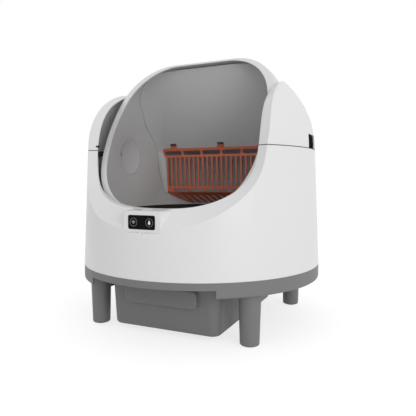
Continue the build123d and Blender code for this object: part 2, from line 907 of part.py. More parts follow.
sieve_head_room = profile_strip(
    [(partition_foot[0] - seat_gap, partition_foot[1]), (sieve_knee[0] - seat_gap, sieve_knee[1])],
    sieve_thickness + 2 * seat_gap,
    sieve_head_half_width + seat_gap,
)
with BuildPart() as partition_wings:
    for low, high in ((sieve_knee, partition_foot), (sieve_waist, sieve_knee)):
        overlap = partition_thickness * 2
        for place in (-overlap, run_length(low, high) + overlap):
            wing_plane = slope_plane(low, high).offset(place)
            with BuildSketch(wing_plane):
                add(curled_section(wing_plane, partition_fillet))
        loft()
    with BuildSketch(Plane.XZ):
        with BuildLine():
            Polyline(*sieve_outline(seat_gap), close=True)
        make_face()
    extrude(amount=-seam_radius, mode=Mode.SUBTRACT)
with BuildPart() as partition_panel:
    for share in (0, 1 / 4, 1 / 2, 3 / 4, 1):
        panel_plane = slope_plane(partition_foot, partition_head).offset(
            run_length(partition_foot, partition_head) * share
        )
        curl = partition_fillet + (partition_head_fillet - partition_fillet) * share
        with BuildSketch(panel_plane):
            add(curled_section(panel_plane, curl))
    loft()
    add(partition_wings.part)
    add(sieve_head_room, mode=Mode.SUBTRACT)
    # The slots of the sieve's clips
    for place in (-tab_spread, 0, tab_spread):
        with BuildSketch(slope_plane(partition_foot, partition_head).offset(tab_rise)):
            with Locations((place, 0)):
                Rectangle(tab_width + seat_gap * 2, partition_fillet)
        extrude(amount=tab_slot_height, mode=Mode.SUBTRACT)
    add(inside_room, mode=Mode.INTERSECT)
    add(mouth_solid(rim_depth + seat_gap), mode=Mode.INTERSECT)
finish(partition_panel.part, "partition_panel")


# Sieve: a grille that continues the partition, with bars, slots and clips
sieve_profile = [
    (partition_foot[0], partition_foot[1] - seat_gap),
    sieve_knee,
    sieve_waist,
    sieve_toe,
]
with BuildPart() as sieve_slots:
    slot_depth = 4 * overrun
    with BuildSketch(Plane.XZ):
        for column in range(-3, 3):
            with Locations(((column + 1 / 2) * top_slot_pitch, (top_slot_low + top_slot_high) / 2)):
                RectangleRounded(top_slot_pitch - top_slot_post, top_slot_high - top_slot_low, slot_round)
        for column in range(bar_gap_count):
            across = (column - (bar_gap_count - 1) / 2) * bar_pitch
            with Locations((across, (bar_bottom + bar_top) / 2)):
                Rectangle(bar_pitch - bar_width, bar_top - bar_bottom)
        for column in range(-3, 3):
            with Locations(((column + 1 / 2) * low_slot_pitch, (low_slot_low + low_slot_high) / 2)):
                RectangleRounded(low_slot_pitch - low_slot_post, low_slot_high - low_slot_low, slot_round)
    extrude(amount=-(sieve_waist[0] + slot_depth))
    # The slanting slots of the toe
    with BuildSketch(Plane.XY.offset(sieve_toe[1] - slot_depth)):
        for column in range(toe_slot_count):
            across = (column - toe_slot_count / 2) * toe_slot_pitch
            with BuildLine():
                Polyline(
                    (across, toe_slot_front),
                    (across + toe_slot_width, toe_slot_front),
                    (across + toe_slot_width + toe_slot_slant, sieve_toe[0]),
                    (across + toe_slot_slant, sieve_toe[0]),
                    close=True,
                )
            make_face()
    extrude(amount=low_slot_low - sieve_toe[1] + slot_depth - sieve_edge / 2)
    add(liner_drum(liner_wall + sieve_edge), mode=Mode.INTERSECT)
with BuildPart() as sieve:
    add(profile_strip(sieve_profile, sieve_thickness, sieve_head_half_width))
    with BuildSketch(Plane.XZ):
        with BuildLine():
            Polyline(*sieve_outline(0), close=True)
        make_face()
    extrude(amount=-seam_radius, mode=Mode.INTERSECT)
    add(sieve_slots.part, mode=Mode.SUBTRACT)
    # Clips that stand in front of the partition and hook into its slots
    for place in (-tab_spread, 0, tab_spread):
        tab_plane = slope_plane(partition_foot, partition_head)
        with BuildSketch(tab_plane.offset(-sieve_edge)):
            with Locations((place, -tab_thickness / 2 - seat_gap)):
                Rectangle(tab_width, tab_thickness)
        extrude(amount=sieve_edge + tab_rise + tab_hook)
        with BuildSketch(tab_plane.offset(tab_rise + seat_gap)):
            with Locations((place, (partition_thickness - tab_thickness) / 2)):
                Rectangle(tab_width, partition_thickness + tab_thickness + seat_gap)
        extrude(amount=tab_hook - seat_gap)
        with BuildSketch(tab_plane.offset(-sieve_edge)):
            with Locations((place, 0)):
                Rectangle(tab_width, sieve_thickness)
        extrude(amount=sieve_edge - seat_gap)
    add(inside_room, mode=Mode.INTERSECT)
finish(sieve.part, "sieve")

# Rubber mat: the soft lining of the drum's floor, trimmed level at its top
with BuildPart() as rubber_mat:
    add(liner_drum(liner_wall + seat_gap))
    add(liner_drum(liner_wall + seat_gap + mat_thickness), mode=Mode.SUBTRACT)
    add(mouth_solid(rim_depth + seat_gap * 2), mode=Mode.INTERSECT)
    split(bisect_by=Plane.XY.offset(mat_top), keep=Keep.BOTTOM)
finish(rubber_mat.part, "rubber_mat")

# Hubs: cups that sit in both side walls with a soft dish inside, the journals bolted to them
# from outside, and the screws
liner_face = liner_hub_half_width - liner_wall
flange_face = hub_face + seat_gap / 2
dish_depth = hub_face - hub_floor_thickness - liner_face
dish_rim_radius = hub_radius - hub_rim
dish_radius = (dish_rim_radius**2 + dish_depth**2) / (2 * dish_depth)
dish_turn = atan2(dish_rim_radius, dish_radius - dish_depth) / 2
for hub_name, journal_name, side in (
    ("left_hub_plate", "left_journal", -1),
    ("right_hub_plate", "right_journal", 1),
):
    with BuildPart() as hub_plate:
        with BuildSketch(drum_front_plane):
            with BuildLine():
                outside = Line((side * hub_face, 0), (side * hub_face, hub_radius))
                edge = Line(outside @ 1, (side * liner_face, hub_radius))
                lip = Line(edge @ 1, (side * liner_face, dish_rim_radius))
                dish = ThreePointArc(
                    lip @ 1,
                    (
                        side * (liner_face + dish_depth - dish_radius * (1 - cos(dish_turn))),
                        dish_radius * sin(dish_turn),
                    ),
                    (side * (liner_face + dish_depth), 0),
                )
                Line(dish @ 1, outside @ 0)
            make_face()
        revolve(axis=drum_axis)
        with BuildSketch(axle_plane):
            with Locations((-hub_hole_place, hub_hole_rise)):
                Circle(hub_hole_radius)
        extrude(amount=side * (hub_face + overrun), mode=Mode.SUBTRACT)
        with BuildSketch(axle_plane.offset(side * (hub_face - hub_screw_depth - seat_gap))):
            with PolarLocations(hub_screw_circle, hub_screw_count, start_angle=45):
                Circle(screw_radius + seat_gap)
        extrude(amount=side * (hub_screw_depth + overrun), mode=Mode.SUBTRACT)
    finish(hub_plate.part, hub_name)
    with BuildPart() as journal:
        with BuildSketch(axle_plane.offset(side * flange_face)):
            Circle(journal_flange_radius)
        extrude(amount=side * journal_flange_thickness)
        with BuildSketch(axle_plane.offset(side * flange_face)):
            Circle(axle_radius)
        extrude(amount=side * (axle_end - flange_face))
        with BuildSketch(axle_plane.offset(side * flange_face)):
            with PolarLocations(hub_screw_circle, hub_screw_count, start_angle=45):
                Circle(screw_radius + running_gap)
        extrude(amount=side * journal_flange_thickness, mode=Mode.SUBTRACT)
        with BuildSketch(axle_plane.offset(side * flange_face)):
            with Locations((-hub_hole_place, hub_hole_rise)):
                Circle(hub_hole_radius)
        extrude(amount=side * journal_flange_thickness, mode=Mode.SUBTRACT)
    finish(journal.part, journal_name)

with BuildPart() as hub_screws:
    head_face = flange_face + journal_flange_thickness
    for side in (-1, 1):
        with BuildSketch(axle_plane.offset(side * head_face)):
            with PolarLocations(hub_screw_circle, hub_screw_count, start_angle=45):
                Circle(screw_head_radius)
        extrude(amount=side * screw_head_height)
        with BuildSketch(axle_plane.offset(side * head_face)):
            with PolarLocations(hub_screw_circle, hub_screw_count, start_angle=45):
                Circle(screw_radius)
        extrude(amount=-side * (head_face - hub_face + hub_screw_depth))
finish(hub_screws.part, "hub_screws")

# Bearing posts: arched stands on the deck with a saddle for the bush at their heads
saddle_radius = axle_radius + running_gap + bush_wall
post_head = drum_axis_height + post_head_rise
post_centre = post_inner + post_thickness / 2
for post_name, bush_name, side in (
    ("left_bearing_post", "left_bush", -1),
    ("right_bearing_post", "right_bush", 1),
):
    with BuildPart() as post:
        with BuildSketch(Plane.YZ.offset(side * post_inner)):
            with BuildLine():
                Polyline(
                    (-post_foot_half_width, deck_top),
                    (-post_head_half_width, post_head),
                    (post_head_half_width, post_head),
                    (post_foot_half_width, deck_top),
                    close=True,
                )
            make_face()
            with Locations((0, drum_axis_height)):
                Circle(saddle_radius, mode=Mode.SUBTRACT)
            with Locations((0, drum_axis_height + post_head_rise)):
                Rectangle(2 * saddle_radius, 2 * post_head_rise, mode=Mode.SUBTRACT)
            with Locations((0, (deck_top + pinion_height) / 2)):
                Rectangle(2 * post_window_half_width, pinion_height - deck_top, mode=Mode.SUBTRACT)
            with Locations((0, pinion_height)):
                Circle(post_window_half_width, mode=Mode.SUBTRACT)
        extrude(amount=side * post_thickness)
        with BuildSketch(Plane.XY.offset(deck_top)):
            with Locations((side * post_centre, 0)):
                Rectangle(
                    post_thickness + 2 * post_flange_reach,
                    2 * (post_foot_half_width + post_flange_reach),
                )
        extrude(amount=post_flange_height)
    finish(post.part, post_name)
    with BuildPart() as bush:
        with BuildSketch(Plane.YZ.offset(side * post_inner)):
            with Locations((0, drum_axis_height)):
                Circle(saddle_radius - running_gap)
            with Locations((0, drum_axis_height + post_head_rise / 2)):
                Rectangle(2 * (saddle_radius - running_gap), post_head_rise)
            with Locations((0, drum_axis_height)):
                Circle(axle_radius + running_gap, mode=Mode.SUBTRACT)
            with Locations((0, drum_axis_height + post_head_rise)):
                Rectangle(2 * (axle_radius + running_gap), 2 * post_head_rise, mode=Mode.SUBTRACT)
            with Locations((0, drum_axis_height + saddle_radius + post_head_rise)):
                Rectangle(4 * saddle_radius, 2 * saddle_radius, mode=Mode.SUBTRACT)
        extrude(amount=side * post_thickness)
    finish(bush.part, bush_name)


# Drum drive: a ring gear on the drum's right shoulder, its pinion and the geared motor
def tooth_points(teeth, outside_radius, root_radius, turned_share):
    # The outline of an involute gear: every tooth has its flanks, tip and root.
    pitch_radius = gear_module * teeth / 2
    base_radius = pitch_radius * cos(radians(pressure_angle))
    half_tooth = pi / (2 * teeth) - gear_backlash / (4 * pitch_radius)

    def involute(radius):
        roll = sqrt(max(0, (radius / base_radius) ** 2 - 1))
        return roll - atan2(roll, 1)

    start = max(root_radius, base_radius)
    steps = [start + (outside_radius - start) * step / 3 for step in range(4)]
    spread = half_tooth + involute(pitch_radius)
    points = []
    for tooth in range(teeth):
        middle = 2 * pi * (tooth + turned_share) / teeth
        flank = [(radius, spread - involute(radius)) for radius in steps]
        flank = [(root_radius, flank[0][1])] + flank if root_radius < start else flank
        for radius, away in flank:
            points.append((radius * cos(middle - away), radius * sin(middle - away)))
        for radius, away in reversed(flank):
            points.append((radius * cos(middle + away), radius * sin(middle + away)))
    return points


tooth_foot = gear_module * 1.25
with BuildPart() as ring_gear:
    with BuildSketch(axle_plane.offset(gear_inner)):
        with BuildLine():
            Polyline(
                *tooth_points(
                    ring_teeth,
                    ring_pitch_radius + gear_module,
                    ring_pitch_radius - tooth_foot,
                    ring_teeth * 3 / 4 + 1 / 2,
                ),
                close=True,
            )
        make_face()
    extrude(amount=gear_outer - gear_inner)
    add(outer_drum(-seat_gap), mode=Mode.SUBTRACT)
finish(ring_gear.part, "ring_gear")

gearbox_face = gear_outer + seat_gap + bracket_thickness + sliding_gap
with BuildPart() as drive_pinion:
    with BuildSketch(pinion_plane.offset(pinion_inner)):
        with BuildLine():
            Polyline(
                *tooth_points(
                    pinion_teeth,
                    pinion_pitch_radius + gear_module,
                    pinion_pitch_radius - tooth_foot,
                    pinion_teeth / 4,
                ),
                close=True,
            )
        make_face()
    extrude(amount=gear_outer - pinion_inner)
    with BuildSketch(pinion_plane.offset(pinion_inner)):
        Circle(shaft_radius)
    extrude(amount=gearbox_face + gearbox_length / 2 - pinion_inner)
finish(drive_pinion.part, "drive_pinion")

# Motor bracket: an upright plate with a foot on the deck
bracket_inner = gear_outer + seat_gap
gearbox_inner = bracket_inner + bracket_thickness
with BuildPart() as motor_bracket:
    with BuildSketch(Plane.YZ.offset(bracket_inner)):
        with Locations((0, pinion_height)):
            Circle(bracket_half_width)
        with Locations((0, (pinion_height + deck_top) / 2)):
            Rectangle(2 * bracket_half_width, pinion_height - deck_top)
        with Locations((0, pinion_height)):
            Circle(gearbox_boss_radius + seat_gap, mode=Mode.SUBTRACT)
    extrude(amount=bracket_thickness)
    with BuildSketch(Plane.XY.offset(deck_top)):
        with Locations((bracket_inner + bracket_thickness - bracket_foot / 2, 0)):
            Rectangle(bracket_foot, 2 * bracket_half_width)
    extrude(amount=bracket_thickness)
finish(motor_bracket.part, "motor_bracket")

with BuildPart() as gearbox:
    with BuildSketch(pinion_plane.offset(gearbox_inner)):
        Circle(gearbox_radius)
    extrude(amount=gearbox_length)
    with BuildSketch(pinion_plane.offset(bracket_inner + seat_gap)):
        Circle(gearbox_boss_radius)
    extrude(amount=bracket_thickness)
    with BuildSketch(pinion_plane.offset(bracket_inner)):
        Circle(shaft_radius + running_gap)
    extrude(amount=bracket_thickness + gearbox_length / 2 + sliding_gap, mode=Mode.SUBTRACT)
finish(gearbox.part, "gearbox")

with BuildPart() as motor:
    with BuildSketch(pinion_plane.offset(gearbox_inner + gearbox_length)):
        Circle(motor_radius)
    extrude(amount=motor_length)
    fillet(motor.edges().sort_by(Axis.X)[-1], motor_radius / 9)
    with BuildSketch(pinion_plane.offset(gearbox_inner + gearbox_length + motor_length)):
        Circle(motor_radius / 3)
    extrude(amount=motor_radius / 9)
finish(motor.part, "motor")

# Control panel: a dark glass in its pocket and the board behind it
with BuildPart() as control_panel:
    with BuildSketch(Plane.XZ.offset(-glass_front - glass_thickness + seat_gap / 2)):
        with Locations((0, glass_centre_height)):
            glass = Rectangle(glass_width, glass_height)
        fillet(glass.vertices(), glass_corner)
    extrude(amount=glass_thickness)
    fillet(control_panel.faces().sort_by(Axis.Y)[0].edges(), glass_thickness / 5)
finish(control_panel.part, "control_panel")

with BuildPart() as control_board:
    with BuildSketch(Plane.XZ.offset(-glass_front - board_pocket)):
        with Locations((0, glass_centre_height)):
            Rectangle(
                glass_width - board_margin * 2 - seat_gap * 2,
                glass_height - board_margin * 2 - seat_gap * 2,
            )
    extrude(amount=board_thickness)
finish(control_board.part, "control_board")

# Presence sensor: a small dark lens in the band, with its body behind the wall
band_front = -edge_point(1).Y - band_side_depth
with BuildPart() as presence_sensor:
    with BuildSketch(Plane.XZ.offset(band_front - shell_wall - sensor_seat)):
        with Locations((-sensor_place, sensor_height)):
            Circle(sensor_radius)
    extrude(amount=shell_wall + sensor_seat)
    with BuildSketch(Plane.XZ.offset(band_front - shell_wall - sensor_seat)):
        with Locations((-sensor_place, sensor_height)):
            Circle(sensor_body_radius)
    extrude(amount=-sensor_length)
finish(presence_sensor.part, "presence_sensor")

# Cover catches: dark blocks inside the housing's wall at the parting line
for catch_name, side in (("left_cover_catch", -1), ("right_cover_catch", 1)):
    with BuildPart() as catch:
        with BuildSketch(Plane.XY.offset(parting_height - catch_drop)):
            with Locations((side * parting_radius, catch_place)):
                Rectangle(4 * catch_depth, catch_length)
        extrude(amount=catch_drop + catch_rise)
        add(body_solid(shell_wall + seat_gap, seam_height), mode=Mode.INTERSECT)
        add(body_solid(shell_wall + seat_gap + catch_depth, seam_height), mode=Mode.SUBTRACT)
    finish(catch.part, catch_name)

# Power inlet: a square socket flush in the rear of the housing
with BuildPart() as power_inlet:
    with BuildSketch(Plane.XZ.offset(-inlet_face + inlet_depth)):
        with Locations((inlet_place, inlet_centre_height)):
            Rectangle(inlet_width, inlet_height)
    extrude(amount=-inlet_depth)
    with BuildSketch(Plane.XZ.offset(-inlet_face + inlet_depth * 3 / 4)):
        with Locations((inlet_place, inlet_centre_height)):
            Circle(inlet_radius)
            Circle(inlet_radius / 3, mode=Mode.SUBTRACT)
    extrude(amount=-inlet_depth, mode=Mode.SUBTRACT)
finish(power_inlet.part, "power_inlet")

# Main board on its standoffs at the rear of the deck
with BuildPart() as main_board:
    with BuildSketch(Plane.XY.offset(deck_top + standoff_height)):
        with Locations((0, main_board_place)):
            Rectangle(main_board_width, main_board_length)
    extrude(amount=board_thickness)
    with BuildSketch(Plane.XY.offset(deck_top)):
        with Locations((0, main_board_place)):
            with GridLocations(
                main_board_width - 4 * standoff_radius, main_board_length - 4 * standoff_radius, 2, 2
            ):
                Circle(standoff_radius)
    extrude(amount=standoff_height)
finish(main_board.part, "main_board")
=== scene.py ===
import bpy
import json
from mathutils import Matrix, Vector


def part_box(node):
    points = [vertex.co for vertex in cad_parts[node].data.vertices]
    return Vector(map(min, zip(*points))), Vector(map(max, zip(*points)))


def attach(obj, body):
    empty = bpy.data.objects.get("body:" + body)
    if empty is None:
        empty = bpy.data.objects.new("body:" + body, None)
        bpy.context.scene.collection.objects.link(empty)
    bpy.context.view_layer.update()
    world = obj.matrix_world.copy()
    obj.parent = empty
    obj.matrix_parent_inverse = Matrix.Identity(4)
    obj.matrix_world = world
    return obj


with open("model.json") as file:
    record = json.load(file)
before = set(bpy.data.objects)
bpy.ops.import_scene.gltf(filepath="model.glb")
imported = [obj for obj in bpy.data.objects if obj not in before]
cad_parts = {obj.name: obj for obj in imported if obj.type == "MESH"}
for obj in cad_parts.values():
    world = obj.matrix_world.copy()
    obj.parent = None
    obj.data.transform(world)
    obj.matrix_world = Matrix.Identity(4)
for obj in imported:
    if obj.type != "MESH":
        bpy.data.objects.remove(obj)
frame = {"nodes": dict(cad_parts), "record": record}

"""Looks of a self cleaning litter box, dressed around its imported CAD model.

Lengths are in metres in the CAD's own frame: +X is to the right, the front faces -Y and
+Z is up. Every CAD node keeps its mesh and gets a finish; a few small pieces are added.
"""

import json
import logging
import math
from dataclasses import dataclass, field
from enum import Enum

import bpy
from mathutils import Matrix, Vector

LOG = logging.getLogger("litter_box")
Colour = tuple[float, float, float]
Place = tuple[float, float, float]
Socket = bpy.types.NodeSocket
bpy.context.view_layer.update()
PATTERN_LOW = 0.3
PATTERN_HIGH = 0.7
EDGE_SAMPLES = 6


# Finishes


class NodeBench:
    """Lays out the shader nodes of one material."""

    def __init__(self, name: str) -> None:
        """Starts a material with an empty node tree.

        Args:
            name: The material's name.
        """
        self.material = bpy.data.materials.new(name)
        self.material.use_nodes = True
        self.tree = self.material.node_tree
        self.tree.nodes.clear()
        self.output = self.add("ShaderNodeOutputMaterial")
        self.shader = self.add("ShaderNodeBsdfPrincipled")
        self.join(self.shader.outputs["BSDF"], self.output.inputs["Surface"])
        self.place = self.add("ShaderNodeTexCoord").outputs["Object"]

    def add(self, kind: str, **settings: object) -> bpy.types.Node:
        """Adds one node.

        Args:
            kind: The node's type name.
            settings: Attributes set on the node.

        Returns:
            The new node.
        """
        node = self.tree.nodes.new(kind)
        for key, value in settings.items():
            setattr(node, key, value)
        return node

    def join(self, source: Socket, target: Socket) -> None:
        """Links one socket to another."""
        self.tree.links.new(source, target)

    def noise(self, scale: float, detail: float = 2.0, stretch: Place = (1, 1, 1)) -> Socket:
        """Adds a noise pattern that is fixed to the object.

        Args:
            scale: Features per metre.
            detail: How many finer layers it has.
            stretch: How much each axis is squeezed.

        Returns:
            The pattern's value.
        """
        mapping = self.add("ShaderNodeMapping")
        mapping.inputs["Scale"].default_value = stretch
        self.join(self.place, mapping.inputs["Vector"])
        node = self.add("ShaderNodeTexNoise")
        node.inputs["Scale"].default_value = scale
        node.inputs["Detail"].default_value = detail
        self.join(mapping.outputs["Vector"], node.inputs["Vector"])
        return node.outputs["Fac"]

    def span(self, value: Socket, low: float, high: float) -> Socket:
        """Maps a pattern onto a range.

        Args:
            value: The pattern.
            low: The result where the pattern is low.
            high: The result where the pattern is high.

        Returns:
            The mapped value.
        """
        node = self.add("ShaderNodeMapRange")
        node.inputs["From Min"].default_value = PATTERN_LOW
        node.inputs["From Max"].default_value = PATTERN_HIGH
        node.inputs["To Min"].default_value = low
        node.inputs["To Max"].default_value = high
        self.join(value, node.inputs["Value"])
        return node.outputs["Result"]

    def tones(self, value: Socket, colour: Colour, spread: float) -> Socket:
        """Turns a pattern into slightly darker and lighter tones of a colour.

        Args:
            value: The pattern.
            colour: The middle tone.
            spread: How far the tones go either way, as a share.

        Returns:
            The colour.
        """
        ramp = self.add("ShaderNodeValToRGB")
        ends = ramp.color_ramp.elements
        ends[0].position = PATTERN_LOW
        ends[1].position = PATTERN_HIGH
        ends[0].color = (*[part * (1 - spread) for part in colour], 1)
        ends[1].color = (*[min(1.0, part * (1 + spread)) for part in colour], 1)
        self.join(value, ramp.inputs["Fac"])
        return ramp.outputs["Color"]

    def relief(self, height: Socket, depth: float, edge: float = 0.0) -> None:
        """Gives the shader a bump, and softens the piece's sharp edges.

        Args:
            height: The pattern of the bump.
            depth: The bump's depth.
            edge: The radius of the softened edges, or 0 for none.
        """
        bump = self.add("ShaderNodeBump")
        bump.inputs["Strength"].default_value = 1.0
        bump.inputs["Distance"].default_value = depth
        self.join(height, bump.inputs["Height"])
        if edge > 0:
            soft = self.add("ShaderNodeBevel", samples=EDGE_SAMPLES)
            soft.inputs["Radius"].default_value = edge
            self.join(soft.outputs["Normal"], bump.inputs["Normal"])
        self.join(bump.outputs["Normal"], self.shader.inputs["Normal"])


@dataclass(frozen=True)
class MouldedPlastic:
    """Moulded plastic with the fine texture of its tool and small changes of tone."""

    name: str
    colour: Colour
    roughness: float = 0.42
    specular: float = 0.5
    coat: float = 0.0
    roughness_spread: float = 0.05
    grain: float = 900.0
    grain_depth: float = 0.00002
    tone_spread: float = 0.02
    edge: float = 0.001
    cloud_scale: float = 7.0
    cloud_detail: float = 3.0
    smear_scale: float = 55.0
    smear_detail: float = 4.0
    smear_stretch: Place = (1, 1, 0.35)

    def material(self) -> bpy.types.Material:
        """Builds the finish's nodes.

        Returns:
            The material.
        """
        bench = NodeBench(self.name)
        shader = bench.shader
        shader.inputs["Specular IOR Level"].default_value = self.specular
        shader.inputs["Coat Weight"].default_value = self.coat
        cloud = bench.noise(self.cloud_scale, self.cloud_detail)
        bench.join(bench.tones(cloud, self.colour, self.tone_spread), shader.inputs["Base Color"])
        smear = bench.noise(self.smear_scale, self.smear_detail, self.smear_stretch)
        smooth = self.roughness - self.roughness_spread
        rough = self.roughness + self.roughness_spread
        bench.join(bench.span(smear, smooth, rough), shader.inputs["Roughness"])
        bench.relief(bench.noise(self.grain), self.grain_depth, self.edge)
        return bench.material


@dataclass(frozen=True)
class SoftRubber:
    """Matt rubber with a fine pebbled surface."""

    name: str
    colour: Colour
    roughness: float = 0.75
    roughness_spread: float = 0.08
    specular: float = 0.3
    tone_spread: float = 0.15
    cloud_scale: float = 18.0
    cloud_detail: float = 4.0
    pebble: float = 420.0
    pebble_depth: float = 0.0001

    def material(self) -> bpy.types.Material:
        """Builds the finish's nodes.

        Returns:
            The material.
        """
        bench = NodeBench(self.name)
        shader = bench.shader
        shader.inputs["Specular IOR Level"].default_value = self.specular
        cloud = bench.noise(self.cloud_scale, self.cloud_detail)
        bench.join(bench.tones(cloud, self.colour, self.tone_spread), shader.inputs["Base Color"])
        smooth = self.roughness - self.roughness_spread
        rough = self.roughness + self.roughness_spread
        bench.join(bench.span(cloud, smooth, rough), shader.inputs["Roughness"])
        cells = bench.add("ShaderNodeTexVoronoi")
        cells.inputs["Scale"].default_value = self.pebble
        bench.join(bench.place, cells.inputs["Vector"])
        bench.relief(cells.outputs["Distance"], self.pebble_depth)
        return bench.material


@dataclass(frozen=True)
class DrawnMetal:
    """Metal with the fine lines of drawing or turning."""

    name: str
    colour: Colour
    smoothest: float = 0.26
    roughest: float = 0.44
    tone_spread: float = 0.08
    streak_scale: float = 60.0
    streak_detail: float = 5.0
    streak_depth: float = 0.00001
    edge: float = 0.0004
    lines: Place = (1, 18, 18)

    def material(self) -> bpy.types.Material:
        """Builds the finish's nodes.

        Returns:
            The material.
        """
        bench = NodeBench(self.name)
        shader = bench.shader
        shader.inputs["Metallic"].default_value = 1.0
        streak = bench.noise(self.streak_scale, self.streak_detail, self.lines)
        bench.join(bench.tones(streak, self.colour, self.tone_spread), shader.inputs["Base Color"])
        bench.join(bench.span(streak, self.smoothest, self.roughest), shader.inputs["Roughness"])
        bench.relief(streak, self.streak_depth, self.edge)
        return bench.material


@dataclass(frozen=True)
class DarkGlass:
    """A black polished cover with faint smudges."""

    name: str
    colour: Colour = (0.004, 0.004, 0.005)
    specular: float = 0.06
    smoothest: float = 0.08
    roughest: float = 0.2
    tone_spread: float = 0.3
    smudge_scale: float = 90.0
    smudge_detail: float = 5.0
    wave_scale: float = 30.0
    wave_detail: float = 1.0
    wave_depth: float = 0.00001
    edge: float = 0.0004

    def material(self) -> bpy.types.Material:
        """Builds the finish's nodes.

        Returns:
            The material.
        """
        bench = NodeBench(self.name)
        shader = bench.shader
        shader.inputs["Specular IOR Level"].default_value = self.specular
        smudge = bench.noise(self.smudge_scale, self.smudge_detail)
        bench.join(bench.tones(smudge, self.colour, self.tone_spread), shader.inputs["Base Color"])
        bench.join(bench.span(smudge, self.smoothest, self.roughest), shader.inputs["Roughness"])
        wave = bench.noise(self.wave_scale, self.wave_detail)
        bench.relief(wave, self.wave_depth, self.edge)
        return bench.material


@dataclass(frozen=True)
class CircuitBoard:
    """Green lacquered board with paler tracks."""

    name: str
    lacquer: Colour = (0.02, 0.16, 0.06)
    track: Colour = (0.05, 0.28, 0.10)
    second_tone: float = 0.8
    smoothest: float = 0.25
    roughest: float = 0.4
    brick_scale: float = 120.0
    track_width: float = 0.06
    track_depth: float = 0.00004
    speck_scale: float = 200.0

    def material(self) -> bpy.types.Material:
        """Builds the finish's nodes.

        Returns:
            The material.
        """
        bench = NodeBench(self.name)
        shader = bench.shader
        bricks = bench.add("ShaderNodeTexBrick")
        darker = [part * self.second_tone for part in self.lacquer]
        bricks.inputs["Scale"].default_value = self.brick_scale
        bricks.inputs["Mortar Size"].default_value = self.track_width
        bricks.inputs["Color1"].default_value = (*self.lacquer, 1)
        bricks.inputs["Color2"].default_value = (*darker, 1)
        bricks.inputs["Mortar"].default_value = (*self.track, 1)
        bench.join(bench.place, bricks.inputs["Vector"])
        bench.join(bricks.outputs["Color"], shader.inputs["Base Color"])
        specks = bench.noise(self.speck_scale)
        bench.join(bench.span(specks, self.smoothest, self.roughest), shader.inputs["Roughness"])
        bench.relief(bricks.outputs["Fac"], self.track_depth)
        return bench.material


class Finish(Enum):
    """The finishes of the litter box, with the record's slot that each one belongs to."""

    SHELL = (
        "white_shell",
        MouldedPlastic(
            "white_shell_plastic",
            (0.80, 0.80, 0.805),
            0.36,
            grain_depth=0.00001,
            tone_spread=0.008,
            edge=0.0016,
        ),
    )
    BASE = (
        "grey_base",
        MouldedPlastic(
            "grey_base_plastic",
            (0.185, 0.185, 0.188),
            0.55,
            grain=700.0,
            grain_depth=0.00004,
        ),
    )
    DRAWER = (
        "grey_drawer",
        MouldedPlastic(
            "grey_drawer_plastic",
            (0.177, 0.177, 0.18),
            0.55,
            grain=700.0,
            grain_depth=0.00004,
        ),
    )
    FOOT = ("foot_rubber", SoftRubber("foot_rubber_black", (0.03, 0.03, 0.03)))
    DRUM = (
        "drum_white",
        MouldedPlastic(
            "drum_white_plastic",
            (0.74, 0.74, 0.745),
            0.4,
            grain_depth=0.00001,
            tone_spread=0.01,
        ),
    )
    LINER = (
        "drum_grey",
        MouldedPlastic("drum_grey_plastic", (0.54, 0.54, 0.542), 0.5, tone_spread=0.015),
    )
    RIM = (
        "rim_grey",
        MouldedPlastic(
            "rim_grey_plastic",
            (0.78, 0.78, 0.783),
            grain_depth=0.00001,
            tone_spread=0.01,
            edge=0.0018,
        ),
    )
    SIEVE = (
        "sieve_orange",
        MouldedPlastic(
            "sieve_orange_plastic",
            (0.66, 0.165, 0.09),
            0.4,
            tone_spread=0.05,
            edge=0.0008,
        ),
    )
    MAT = ("mat_rubber", SoftRubber("mat_rubber_black", (0.02, 0.02, 0.02)))
    NYLON = (
        "bearing_nylon",
        MouldedPlastic("bearing_nylon_plastic", (0.72, 0.70, 0.64), 0.38, edge=0.0005),
    )
    SCREW = ("screw_steel", DrawnMetal("screw_plated_steel", (0.45, 0.45, 0.46)))
    BRACKET = (
        "bracket_steel",
        DrawnMetal("bracket_zinc_steel", (0.60, 0.60, 0.61), lines=(18, 1, 18)),
    )
    GEARBOX = ("gearbox_black", MouldedPlastic("gearbox_black_plastic", (0.03, 0.03, 0.03), 0.5))
    MOTOR = ("motor_steel", DrawnMetal("motor_can_steel", (0.55, 0.55, 0.56)))
    PANEL = ("panel_glass", DarkGlass("panel_black_glass"))
    BOARD = ("board_green", CircuitBoard("board_green_lacquer"))
    ICON = ("rim_grey", MouldedPlastic("icon_print_grey", (0.16, 0.16, 0.163), 0.5, edge=0.0))
    MARK = ("rim_grey", MouldedPlastic("icon_mark_grey", (0.42, 0.42, 0.425), 0.5, edge=0.0))
    LIT = ("rim_grey", MouldedPlastic("icon_drop_white", (0.86, 0.86, 0.865), 0.5, edge=0.0))
    SENSOR = (
        "sensor_black",
        MouldedPlastic("sensor_black_plastic", (0.015, 0.015, 0.016), 0.3, edge=0.0005),
    )

    @property
    def slot(self) -> str:
        """The record's slot."""
        return self.value[0]

    def material(self) -> bpy.types.Material:
        """The finish's material, built once."""
        recipe = self.value[1]
        return bpy.data.materials.get(recipe.name) or recipe.material()


# Modelling helpers


def deselect() -> None:
    """Leaves edit mode and deselects everything."""
    if bpy.context.mode != "OBJECT":
        bpy.ops.object.mode_set(mode="OBJECT")
    bpy.ops.object.select_all(action="DESELECT")


def only(piece: bpy.types.Object) -> None:
    """Makes one object the selected and active one.

    Args:
        piece: The object.
    """
    deselect()
    piece.select_set(True)
    bpy.context.view_layer.objects.active = piece


